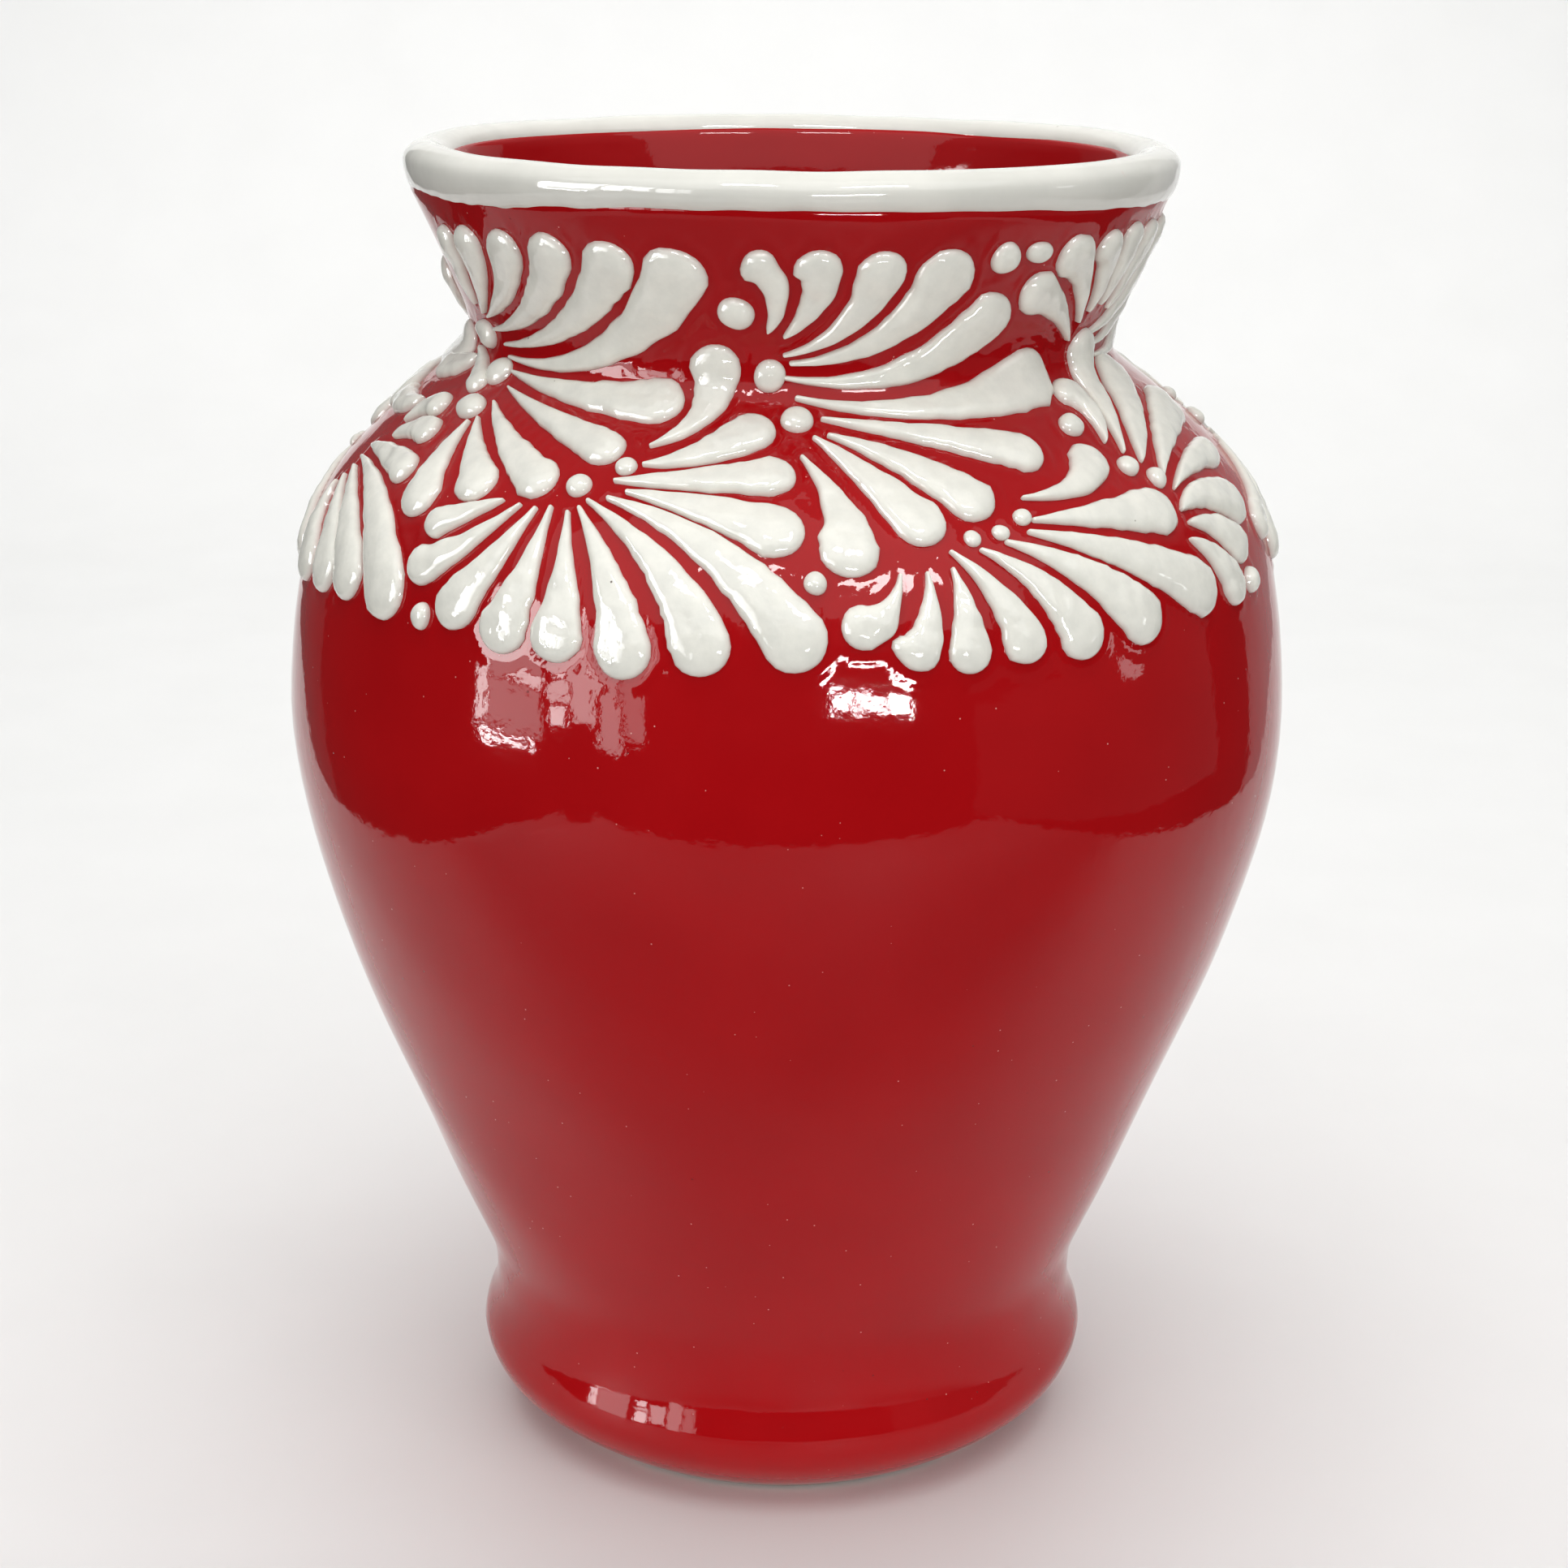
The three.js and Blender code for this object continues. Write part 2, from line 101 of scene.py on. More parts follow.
SHOULDER_LEFT = [
    ((-36, 238.5), (-40, 235.7), (-44, 232.9), 7, 0.8),
    ((-33.3, 238.2), (-38, 231), (-43.8, 225), 8.9, 1.15),
    ((-31, 238), (-33.4, 229.8), (-37.6, 219.1), 10.8, 1.25),
    ((-29, 238.5), (-29.1, 228.3), (-30.8, 216.8), 11.6, 1.35),
    ((-26.5, 238), (-24.6, 227), (-24.3, 216.7), 11.7, 1.3, (1, 0.9, 0.6, 0.1)),
    ((-25.3, 239), (-19.8, 228.5), (-16.9, 214.9), 11.9, 1.15),
    ((-24.5, 240.3), (-14.5, 231.1), (-8.9, 216.8), 12.6, 1.15),
    ((-22, 241), (-9, 234), (0.7, 218.2), 13.2, 1.05),
    ((-19.9, 242.3), (-10, 240.3), (-1.5, 237), 11.8, 1),
    ((-22, 243.9), (-11, 245), (-2.2, 246), 9.8, 0.85),
    ((-19, 246.9), (-12.5, 249), (-5.5, 253.3), 10.3, 1),
    ((-19, 250.1), (-13.6, 255), (-11.9, 264.8), 10, 1, (0, 1, 0.7, 0.1)),
]
SHOULDER_RIGHT = [
    ((12, 229.3), (10.5, 223.5), (7.8, 220.4), 9, 1.2, (0, 0.7, 1.2, 0.16)),
    ((15, 229.5), (14.8, 222), (13.5, 216), 9, 1.1, (1, 1.07, 1.5, 0.06)),
    ((18, 230), (18.7, 223), (18.8, 215), 9.2, 1.1),
    ((18.2, 233), (22.2, 225.8), (25.2, 216), 9.5, 1.15, (1, 0.97, 0.6, 0.08)),
    ((21.9, 233), (28, 226), (32.1, 216), 11, 1.05),
    ((25.3, 234), (33.8, 227.3), (40.6, 217.3), 12.2, 1.05),
    ((28.6, 235.3), (40.6, 229), (51.4, 219.7), 12.8, 1),
    ((29.8, 237.2), (40, 236.4), (49.2, 235.4), 11.8, 1),
    ((29.7, 241), (38, 241.8), (43.2, 245.3), 10, 1.05),
]
SHOULDER_FAR_LEFT = [
    ((-72.5, 240.6), (-65, 241), (-57.5, 240), 8, 0.7),
    ((-72, 238.3), (-59, 233.5), (-49.8, 218.8), 14, 1.15),
    ((-72, 236.3), (-64, 229.5), (-58.3, 219), 12.5, 1.1),
    ((-73.5, 234), (-68, 227), (-65, 217.8), 12, 1.1),
    ((-75.5, 232), (-75, 225), (-73, 217), 12, 1.1),
]
SHOULDER_FAR_RIGHT = [
    ((49.5, 248), (51.6, 253), (50.4, 256.6), 8, 0.7),
    ((51.6, 245.9), (56, 254), (59.3, 264), 10.5, 1),
    ((53.7, 243.8), (60, 250), (68, 257.5), 11.5, 0.8),
    ((56, 240.8), (64, 246), (75, 249.5), 12, 1),
    ((56, 238), (64, 240.5), (73, 240.5), 8.5, 1),
    ((54.4, 234.3), (61, 235.4), (68.3, 232), 11.5, 0.8),
    ((54.4, 231.7), (59.5, 229.5), (63.5, 225), 10, 0.8),
    ((53, 228.7), (56.8, 224), (59.3, 217.9), 10, 0.8),
]
LEAVES = [
    ((-67, 262.5), (-63, 259), (-59.2, 256), 6.5, 0.7),
    ((-67, 266.6), (-65, 267), (-62.5, 266), 6.5, 0.6),
    ((-67, 260), (-72, 257.5), (-78, 256.5), 9, 0.5),
    ((-72, 250.5), (-76, 248.5), (-82, 248.5), 8, 0.5),
    ((-68, 243.6), (-64, 246), (-59.8, 246.6), 7.5, 0.6),
    ((-69.5, 246.4), (-67, 249.5), (-63.5, 250.8), 7, 0.6),
]


def turned(strokes, angle):
    """The strokes moved round the pot by an angle in degrees."""
    return [tuple((a + angle, z) for a, z in s[:3]) + s[3:] for s in strokes]


# Strokes at the front, one piece each; a group's name is in those of its pieces and CAD nodes
STROKE_GROUPS = {
    "neck_left": NECK_LEFT,
    "neck_centre": NECK_CENTRE,
    "shoulder_left": SHOULDER_LEFT,
    "shoulder_right": SHOULDER_RIGHT,
}
# Dots: (place, width round the pot, width up it)
NECK_LEFT_DOTS = [((-55.8, 258.8), 8, 7.5), ((-54.6, 252.1), 9, 6.5)]
NECK_CENTRE_DOTS = [((-3.4, 263.3), 6.6, 6.6), ((1.2, 255.5), 7, 6.8)]
SHOULDER_LEFT_DOTS = [((-26.6, 242.6), 5.2, 5.4), ((-21.4, 246.4), 4.6, 4.4)]
DOT_GROUPS = {
    "neck_left": NECK_LEFT_DOTS,
    "neck_centre": NECK_CENTRE_DOTS,
    "shoulder_left": SHOULDER_LEFT_DOTS,
}
SHOULDER_RIGHT_DOTS = [((21.2, 235.1), 3.6, 3.8), ((24.9, 235.7), 3.8, 3.6), ((28.4, 237.9), 4.2, 3.8)]
LOOSE_DOTS = SHOULDER_RIGHT_DOTS + [
    ((-8.3, 276.3), 8, 6.8), ((2.9, 228.2), 4.6, 4.8), ((32.6, 287.1), 7, 7),
    ((38.6, 287.9), 6.8, 4.8), ((45.3, 251.7), 6.4, 6), ((50, 243.4), 5.6, 5),
    ((53.9, 240.4), 4.8, 5.2), ((64.8, 216.4), 6, 6), ((-42.5, 215.3), 5.2, 6),
]


def dots_turned(dots, angle):
    return [((place[0] + angle, place[1]), across, up) for place, across, up in dots]


# Fans round the sides and back, one piece each, by the node it replaces: (strokes, dots)
FANS = {
    "fan_neck_right": (NECK_RIGHT + turned(NECK_LEFT[3:6], 119), []),
    "fan_neck_back_right": (turned(NECK_CENTRE, 120.4), dots_turned(NECK_CENTRE_DOTS, 120.4)),
    "fan_neck_back": (turned(NECK_LEFT, 240), dots_turned(NECK_LEFT_DOTS, 240)),
    "fan_neck_back_left": (turned(NECK_CENTRE, 240), dots_turned(NECK_CENTRE_DOTS, 240)),
    "fan_shoulder_far_right": (SHOULDER_FAR_RIGHT, []),
    "fan_shoulder_back_1": (turned(SHOULDER_LEFT[1:11], 120), dots_turned(SHOULDER_LEFT_DOTS, 120)),
    "fan_shoulder_back_2": (turned(SHOULDER_RIGHT, 121.5), dots_turned(SHOULDER_RIGHT_DOTS, 121.5)),
    "fan_shoulder_back_3": (turned(SHOULDER_LEFT[1:11], 240), dots_turned(SHOULDER_LEFT_DOTS, 240)),
    "fan_shoulder_back_4": (turned(SHOULDER_RIGHT[:5], 242), dots_turned(SHOULDER_RIGHT_DOTS[:2], 242)),
    "fan_shoulder_far_left": (SHOULDER_FAR_LEFT, []),
}

# ---- the pot's surface ------------------------------------------------------------------


def smooth_curve(points, per_span):
    """Uniform Catmull-Rom curve through the points."""
    p = np.array(points, float)
    t = np.linspace(0, 1, per_span, endpoint=False)[:, None]
    spans = []
    for i in range(len(p) - 1):
        before, a, b, after = p[max(i - 1, 0)], p[i], p[i + 1], p[min(i + 2, len(p) - 1)]
        v0, v1 = (b - before) / 2, (after - a) / 2
        spans.append((2 * a - 2 * b + v0 + v1) * t**3 + (3 * b - 3 * a - 2 * v0 - v1) * t**2 + v0 * t + a)
    return np.vstack(spans + [p[-1:]])


PROFILE = smooth_curve(OUTLINE, 40)
LENGTHS = np.concatenate([[0], np.cumsum(np.hypot(*np.diff(PROFILE, axis=0).T))])
SLOPES = np.gradient(PROFILE, LENGTHS, axis=0)


def length_at(height):
    return np.interp(height, PROFILE[:, 1], LENGTHS)


def radius_at(length):
    return np.interp(length, LENGTHS, PROFILE[:, 0])


# Slow hand-thrown unevenness: (waves round the pot, wavelength up it in mm, phase, size in mm)
THROWN = [
    (2, 190, 0.3, 0.25),
    (3, 120, 1.7, 0.18),
    (9, 95, 3.72, 0.16),
    (7, 52, 2.6, 0.07),
    (13, 37, 5.2, 0.035),
]
EVEN_UP_TO, UNEVEN_FROM = 20, 80  # mm up the profile: the foot is even, the walls above are not


def unevenness(azimuth, length):
    angle = np.radians(azimuth)
    waves = sum(
        size * np.sin(count * angle + 2 * np.pi * length / wavelength + phase)
        for count, wavelength, phase, size in THROWN
    )
    return waves * np.clip((length - EVEN_UP_TO) / (UNEVEN_FROM - EVEN_UP_TO), 0, 1)


def on_pot(azimuth, length, lift):
    """Points above the pot's outside, in mm, by azimuth in degrees and length up the profile."""
    azimuth, length = np.broadcast_arrays(np.asarray(azimuth, float), np.asarray(length, float))
    lift = lift + unevenness(azimuth, length)
    dr = np.interp(length, LENGTHS, SLOPES[:, 0])
    dz = np.interp(length, LENGTHS, SLOPES[:, 1])
    size = np.hypot(dr, dz)
    radius = radius_at(length) + lift * dz / size
    z = np.interp(length, LENGTHS, PROFILE[:, 1]) - lift * dr / size
    angle = np.radians(azimuth)
    return np.stack([radius * np.sin(angle), -radius * np.cos(angle), z], -1)


# ---- making pieces ----------------------------------------------------------------------


def new_piece(name, points, faces, material, node=None, values=None):
    """A smooth mesh from points in mm that rides on the pot's only body."""
    mesh = bpy.data.meshes.new(name)
    mesh.from_pydata((np.asarray(points) * MM).tolist(), [], faces)
    mesh.validate()
    mesh.polygons.foreach_set("use_smooth", [True] * len(mesh.polygons))
    for key, numbers in (values or {}).items():
        mesh.attributes.new(key, "FLOAT", "POINT").data.foreach_set("value", np.asarray(numbers, float))
    mesh.materials.append(material)
    piece = bpy.data.objects.new(name, mesh)
    bpy.context.scene.collection.objects.link(piece)
    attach(piece, "root")
    if node:
        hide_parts(node)


def skin(rows, columns):
    """Faces of a tube of rows, each a closed loop of so many points, with both ends filled."""
    faces = [tuple(range(columns))[::-1]]
    for i in range(rows - 1):
        for k in range(columns):
            nxt = (k + 1) % columns
            a, b = i * columns + k, i * columns + nxt
            faces.append((a, b, b + columns, a + columns))
    faces.append(tuple(range((rows - 1) * columns, rows * columns)))
    return faces


class Waves:
    """Smooth lumps: a sum of seeded sine waves of mixed direction."""

    def __init__(self, seed, dimensions, shortest, longest, count=9):
        rng = np.random.default_rng(seed)
        ways = rng.normal(size=(count, dimensions))
        ways /= np.linalg.norm(ways, axis=1)[:, None]
        self.vectors = ways * (2 * np.pi / rng.uniform(shortest, longest, count))[:, None]
        self.phases = rng.uniform(0, 2 * np.pi, count)

    def at(self, points):
        waves = np.sin(np.asarray(points) @ self.vectors.T + self.phases)
        return waves.sum(-1) / math.sqrt(len(self.phases))


# ---- slip strokes -----------------------------------------------------------------------

SLIP_HEIGHT = 2.3  # thickness of a stroke at its head
TAIL_SHARE = 0.09  # width of the tail's tip, as a share of the head's
SIDE_WOBBLE = 0.045  # how unevenly a stroke's sides run, as a share of its half width
DOT_WOBBLE = 0.05  # the same for a dot's outline
DOT_HEIGHT_SHARE = 0.42  # a small dot is no higher than this share of its width
TOP_LUMPS = 0.07  # unevenness of the slip's height, as a share of it
EMBED = 0.6  # how far a stroke's hidden underside is let into the pot
ROUNDING = np.radians([22, 40, 56, 70, 81])  # stations round an end, from its centre
STATIONS = 26  # sections from the tail to the head's centre
ACROSS = np.sin(np.linspace(-np.pi / 2, np.pi / 2, 17))  # section points, closest at the edges
slip_lumps = Waves(3, 3, 3, 9)


def dome(share):
    """Height of a stroke's section at a share of the way from its middle to its edge."""
    return np.sqrt(np.clip(1 - np.abs(share) ** 3, 0, 1))


def stroke_points(stroke, seed):
    """Rows of section loops for one stroke, how far up its side each point is, and its two edges."""
    (tail, middle, head, width, taper), lobes = stroke[:5], stroke[5:]
    start, via, end = (np.array([a, length_at(z)]) for a, z in (tail, middle, head))
    control = 2 * via - (start + end) / 2
    tips = np.sin(ROUNDING)
    share = np.concatenate([-tips[::-1], np.zeros(STATIONS), tips])  # of the half width past an end
    t = np.concatenate([0 * tips, np.linspace(0, 1, STATIONS), 0 * tips + 1])[:, None]
    centre = (1 - t) ** 2 * start + 2 * t * (1 - t) * control + t**2 * end
    scale = np.stack([np.radians(radius_at(centre[:, 1])), np.ones(len(t))], -1)  # mm per unit
    along = (2 * (1 - t) * (control - start) + 2 * t * (end - control)) * scale
    along /= np.linalg.norm(along, axis=1)[:, None]
    half = width / 2 * (TAIL_SHARE + (1 - TAIL_SHARE) * t[:, 0] ** taper)
    centre = centre + along * (half * share)[:, None] / scale

    gone = np.concatenate([[0], np.cumsum(np.hypot(*(np.diff(centre, axis=0) * scale[1:]).T))])
    wobble = np.stack([Waves(2 * seed + side, 1, 3, 14, 8).at(gone[:, None]) for side in (0, 1)], -1)
    sides = (half * np.sqrt(1 - share**2))[:, None] * (1 + SIDE_WOBBLE * wobble)
    for side, where, out, spread in lobes:
        fade = np.clip((1 - np.abs(share)) * 3, 0, 1)
        sides[:, side] += out * fade * np.exp(-(((t[:, 0] + 0.1 * share) - where) / spread) ** 2)
    across = ACROSS * np.where(ACROSS < 0, sides[:, :1], sides[:, 1:])
    azimuth = centre[:, :1] + across * along[:, 1:] / scale[:, :1]
    length = centre[:, 1:] - across * along[:, :1]
    out = np.sqrt(share[:, None] ** 2 + ACROSS**2 * (1 - share[:, None] ** 2))
    tall = SLIP_HEIGHT * (0.3 + 0.7 * (2 * half / width) ** 0.6)  # lower towards the tail
    flat = on_pot(azimuth, length, 0)
    top = on_pot(azimuth, length, tall[:, None] * dome(out) * (1 + TOP_LUMPS * slip_lumps.at(flat)))
    under = on_pot(azimuth[:, [-1, 0]], length[:, [-1, 0]], -EMBED)
    loops = np.concatenate([top, under], axis=1)
    rise = np.concatenate([dome(out), np.zeros((len(t), 2))], axis=1)
    return loops, rise, np.vstack([flat[:, 0], flat[::-1, -1]])


def dot_points(dot, seed):
    """Rows of loops for a dot, from its hidden underside to its top."""
    (azimuth, height), across, up = dot
    length = length_at(height)
    mm_per_degree = math.radians(radius_at(length))
    angle = np.linspace(0, 2 * np.pi, 28, endpoint=False)
    ring = np.stack([np.cos(angle), np.sin(angle)], -1)
    wobble = 1 + DOT_WOBBLE * Waves(seed, 2, 1.5, 4, 5).at(ring)
    tall = min(SLIP_HEIGHT, DOT_HEIGHT_SHARE * min(across, up))
    shares = np.array([1, 1, 0.98, 0.93, 0.84, 0.7, 0.52, 0.32, 0.1])
    lifts = tall * np.sqrt(np.clip(1 - shares**2.4, 0, 1))
    lifts[0] = -EMBED
    rounds = azimuth + shares[:, None] * wobble * ring[:, 0] * across / 2 / mm_per_degree
    lengths = length + shares[:, None] * wobble * ring[:, 1] * up / 2
    flat = on_pot(rounds, lengths, 0)
    loops = on_pot(rounds, lengths, lifts[:, None] * (1 + TOP_LUMPS * slip_lumps.at(flat)))
    rise = np.repeat(np.clip(lifts / tall, 0, 1)[:, None], len(angle), axis=1)
    return loops, rise, flat[1]


def joined(parts):
    """Several lots of section loops as one mesh: points, faces and rise."""
    points, faces, rise = [], [], []
    for loops, loop_rise in parts:
        base = sum(len(p) for p in points)
        points.append(loops.reshape(-1, 3))
        rise.append(loop_rise.reshape(-1))
        faces += [tuple(base + k for k in face) for face in skin(*loops.shape[:2])]
    return np.vstack(points), faces, np.concatenate(rise)


slip_edges = []  # points along every stroke's and dot's edge on the pot


def add_slip(name, strokes, dots, node=None):
    """One piece of white slip out of strokes and dots."""
    parts = []
    for stroke in strokes:
        loops, rise, edge = stroke_points(stroke, len(slip_edges))
        slip_edges.append(edge)
        parts.append((loops, rise))
    for dot in dots:
        loops, rise, edge = dot_points(dot, len(slip_edges))
        slip_edges.append(edge)
        parts.append((loops, rise))
    points, faces, rise = joined(parts)
    new_piece(name, points, faces, WHITE_SLIP, node, {"rise": rise})


# ---- node helpers -----------------------------------------------------------------------


class Nodes:
    """A material's node tree, built by short calls. Inputs are numbers, colours or sockets."""

    def __init__(self, name):
        self.material = bpy.data.materials.new(name)
        self.material.use_nodes = True
        self.tree = self.material.node_tree
        self.shader = self.tree.nodes["Principled BSDF"]

    def put(self, socket, value):
        if isinstance(value, bpy.types.NodeSocket):
            self.tree.links.new(value, socket)
        elif isinstance(value, tuple) and len(value) == 3 and socket.type == "RGBA":
            socket.default_value = (*value, 1)
        else:
            socket.default_value = value

    def node(self, kind, settings=None, **inputs):
        node = self.tree.nodes.new("ShaderNode" + kind)
        for key, value in (settings or {}).items():
            setattr(node, key, value)
        for key, value in inputs.items():
            self.put(node.inputs[key.replace("_", " ")], value)
        return node

    def place(self):
        return self.node("TexCoord").outputs["Object"]

    def attribute(self, name):
        return self.node("Attribute", {"attribute_name": name}).outputs["Fac"]

    def noise(self, size_mm, detail=2.0, roughness=0.5):
        made = self.node("TexNoise", Vector=self.place(), Scale=1 / (size_mm * MM),
                         Detail=detail, Roughness=roughness)
        return made.outputs["Fac"]

    def dots(self, spacing_mm, radius_mm, kept):
        """1 inside scattered round specks and 0 between; kept is the share of cells with one."""
        cells = self.node("TexVoronoi", Vector=self.place(), Scale=1 / (spacing_mm * MM))
        edge = radius_mm / spacing_mm
        near = self.ramp(cells.outputs["Distance"], [(0.6 * edge, 1), (edge, 0)])
        chosen = self.node("SeparateColor", Color=cells.outputs["Color"]).outputs["Red"]
        return self.math("MULTIPLY", near, self.math("LESS_THAN", chosen, kept))

    def math(self, operation, a, b):
        node = self.tree.nodes.new("ShaderNodeMath")
        node.operation = operation
        self.put(node.inputs[0], a)
        self.put(node.inputs[1], b)
        return node.outputs[0]

    def mix(self, factor, a, b):
        node = self.tree.nodes.new("ShaderNodeMix")
        node.data_type = "RGBA"
        for key, value in (("Factor", factor), ("A", a), ("B", b)):
            kind = "VALUE" if key == "Factor" else "RGBA"
            self.put(next(i for i in node.inputs if i.name == key and i.type == kind), value)
        return next(o for o in node.outputs if o.type == "RGBA")

    def ramp(self, value, stops):
        """Value mapped through (position, grey or colour) stops; positions from 0 to 1."""
        node = self.node("ValToRGB", Fac=value)
        ramp = node.color_ramp
        while len(ramp.elements) < len(stops):
            ramp.elements.new(0.5)
        for element, (position, shade) in zip(ramp.elements, stops):
            element.position = position
            element.color = (*shade, 1) if isinstance(shade, tuple) else (shade, shade, shade, 1)
        return node.outputs["Color"]

    def bump(self, height, distance_mm, normal=None):
        node = self.node("Bump", Height=height, Distance=distance_mm * MM, Strength=1.0)
        if normal:
            self.put(node.inputs["Normal"], normal)
        return node.outputs["Normal"]

    def finish(self, **inputs):
        for key, value in inputs.items():
            self.put(self.shader.inputs[key.replace("_", " ")], value)
        return self.material


# ---- materials --------------------------------------------------------------------------

RED = (0.368, 0.0034, 0.0052)
DEEP_RED = (0.342, 0.0025, 0.0043)
# Bare clay at the foot, its colour darkened as painted shade where the pot meets the table
CLAY_IN_PAINTED_SHADE = (0.20, 0.13, 0.10)
# Thin glaze at the foot, its colour painted pale as a highlight line along the glaze's lower edge
THIN_GLAZE_WITH_PAINTED_HIGHLIGHT = (0.62, 0.30, 0.26)
CLAY_STRIP = 1.0  # mm of bare clay at the foot
THIN_STRIP = 0.6  # mm of thin glaze above it, painted pale as a highlight line
RAGGED = 0.5  # mm by which the edges of both wander


def red_glaze():
    n = Nodes("red_glaze")
    colour = n.mix(n.ramp(n.noise(34, 3), [(0.35, 0.0), (0.65, 1.0)]), DEEP_RED, RED)
    colour = n.mix(n.dots(3.4, 0.19, 0.4), colour, (0.70, 0.30, 0.27))
    pinholes = n.dots(6.5, 0.26, 0.25)
    colour = n.mix(pinholes, colour, (0.16, 0.01, 0.01))
    height = n.node("SeparateXYZ", Vector=n.place()).outputs["Z"]
    uneven = n.math("ADD", n.math("DIVIDE", height, MM), n.math("MULTIPLY", n.noise(7), RAGGED))
    clay_top = CLAY_STRIP + RAGGED / 2
    # A strip of thin glaze above the clay, painted pale as a highlight line
    colour = n.mix(n.math("LESS_THAN", uneven, clay_top + THIN_STRIP), colour, THIN_GLAZE_WITH_PAINTED_HIGHLIGHT)
    # Bare clay at the bottom, its colour darkened as painted shade
    bare = n.math("LESS_THAN", uneven, clay_top)
    colour = n.mix(bare, colour, n.mix(n.noise(1.1, 4), CLAY_IN_PAINTED_SHADE, (0.30, 0.22, 0.18)))
    normal = n.bump(n.noise(1.4, 2), 0.016, n.bump(n.noise(5, 1), 0.055))
    normal = n.bump(n.math("MULTIPLY", pinholes, -1.0), 0.06, normal)
    rough = n.math("ADD", n.math("MULTIPLY", bare, 0.7), 0.045)
    return n.finish(Base_Color=colour, Roughness=rough, IOR=1.31, Normal=normal)


def white_slip():
    n = Nodes("white_slip")
    streaks = n.ramp(n.noise(5, 4, 0.6), [(0.35, 0.0), (0.7, 1.0)])
    colour = n.mix(streaks, (0.745, 0.74, 0.675), (0.83, 0.82, 0.745))
    # Pinkish grey towards each stroke's edge: the red showing through the thin slip, and painted shade at
    # the edge
    edge = n.ramp(n.attribute("rise"), [(0.0, 1.0), (0.28, 0.35), (0.6, 0.0)])
    colour = n.mix(n.math("MULTIPLY", edge, 0.55), colour, (0.50, 0.36, 0.34))
    colour = n.mix(n.dots(7, 0.3, 0.2), colour, (0.16, 0.13, 0.11))
    normal = n.bump(n.noise(1.6, 3), 0.045, n.bump(n.noise(4.5, 2), 0.19))
    return n.finish(Base_Color=colour, Roughness=0.05, IOR=1.5, Normal=normal)


def white_glaze():
    n = Nodes("white_glaze")
    patches = n.ramp(n.noise(22, 4, 0.6), [(0.35, 0.0), (0.7, 1.0)])
    colour = n.mix(patches, (0.69, 0.685, 0.63), (0.77, 0.76, 0.70))
    thin = n.ramp(n.noise(9, 3, 0.6), [(0.70, 0.0), (0.78, 1.0)])
    colour = n.mix(n.math("MULTIPLY", thin, 0.35), colour, (0.62, 0.36, 0.33))
    colour = n.mix(n.dots(9, 0.3, 0.2), colour, (0.30, 0.24, 0.2))
    normal = n.bump(n.noise(2.2, 2), 0.015, n.bump(n.noise(9, 2), 0.12))
    return n.finish(Base_Color=colour, Roughness=0.05, IOR=1.5, Normal=normal)


RED_GLAZE = red_glaze()
WHITE_SLIP = white_slip()
WHITE_GLAZE = white_glaze()

# ---- strokes and dots -------------------------------------------------------------------

for group, strokes in STROKE_GROUPS.items():
    for i, stroke in enumerate(strokes, 1):
        add_slip(f"slip_{group}_{i:02d}", [stroke], [], f"petal_{group}_{i:02d}")
for group, dots in DOT_GROUPS.items():
    for i, dot in enumerate(dots, 1):
        add_slip(f"slip_dot_{group}_{i}", [], [dot], f"dot_{group}_{i}")
for name, (strokes, dots) in FANS.items():
    add_slip(f"slip_{name}", strokes, dots, name)
for i, leaf in enumerate(LEAVES, 1):
    add_slip(f"slip_leaf_{i}", [leaf], [])
for i, dot in enumerate(LOOSE_DOTS, 1):
    add_slip(f"slip_dot_loose_{i:02d}", [], [dot])

# ---- thrown pot -------------------------------------------------------------------------

RIDGE = 0.26  # height in mm of the lip that the red glaze forms beside the slip
RIDGE_AT = 1.6  # mm from the slip's edge to the top of that lip
RIDGE_WIDTH = 0.6
RELIEF_FROM, RELIEF_TO = 203, 292  # heights between which the pot's surface is finely divided
FINE_STEP = 1.2  # mm between the rows there
COARSE, MIDDLE, FINE = 180, 360, 720  # points round the pot

# Rings of the pot in mm, (radius, height): under the foot, over the lip, and across the floor inside
RECESS_EDGE = FOOT_RADIUS - FOOT_RING_WIDTH
UNDERSIDE = [
    (20, FOOT_RECESS), (RECESS_EDGE - 3, FOOT_RECESS), (RECESS_EDGE - 1, FOOT_RECESS),
    (RECESS_EDGE - 0.3, 0.4), (RECESS_EDGE + 0.3, 0), (FOOT_RADIUS - 1, 0),
]
LIP = [
    (84.3, 296.6), (84.2, 298.2), (82, 300.5), (78, 301.8), (76.4, 301.9), (75.9, 301.4),
    (75.5, 300.6), (75, 298.8), (74.3, 296.4), (73.6, 294), (72.9, 291.3), (72.2, 288),
]
INSIDE_FROM, INSIDE_TO, INSIDE_ROWS = 281, 17, 50  # heights and rows of the wall inside
FLOOR = [(65.5, 13), (63, 10.8), (FLOOR_EDGE_RADIUS, 9.6), (54, FLOOR_TOP), (25, FLOOR_TOP)]


def edge_tree():
    """A tree of points about 0.4 mm apart along every slip edge."""
    runs = []
    for edge in slip_edges:
        closed = np.vstack([edge, edge[:1]])
        for a, b in zip(closed[:-1], closed[1:]):
            steps = max(1, int(np.linalg.norm(b - a) / 0.4))
            runs.append(a + (b - a) * np.arange(steps)[:, None] / steps)
    points = np.vstack(runs)
    tree = KDTree(len(points))
    for i, point in enumerate(points):
        tree.insert(point, i)
    tree.balance()
    return tree


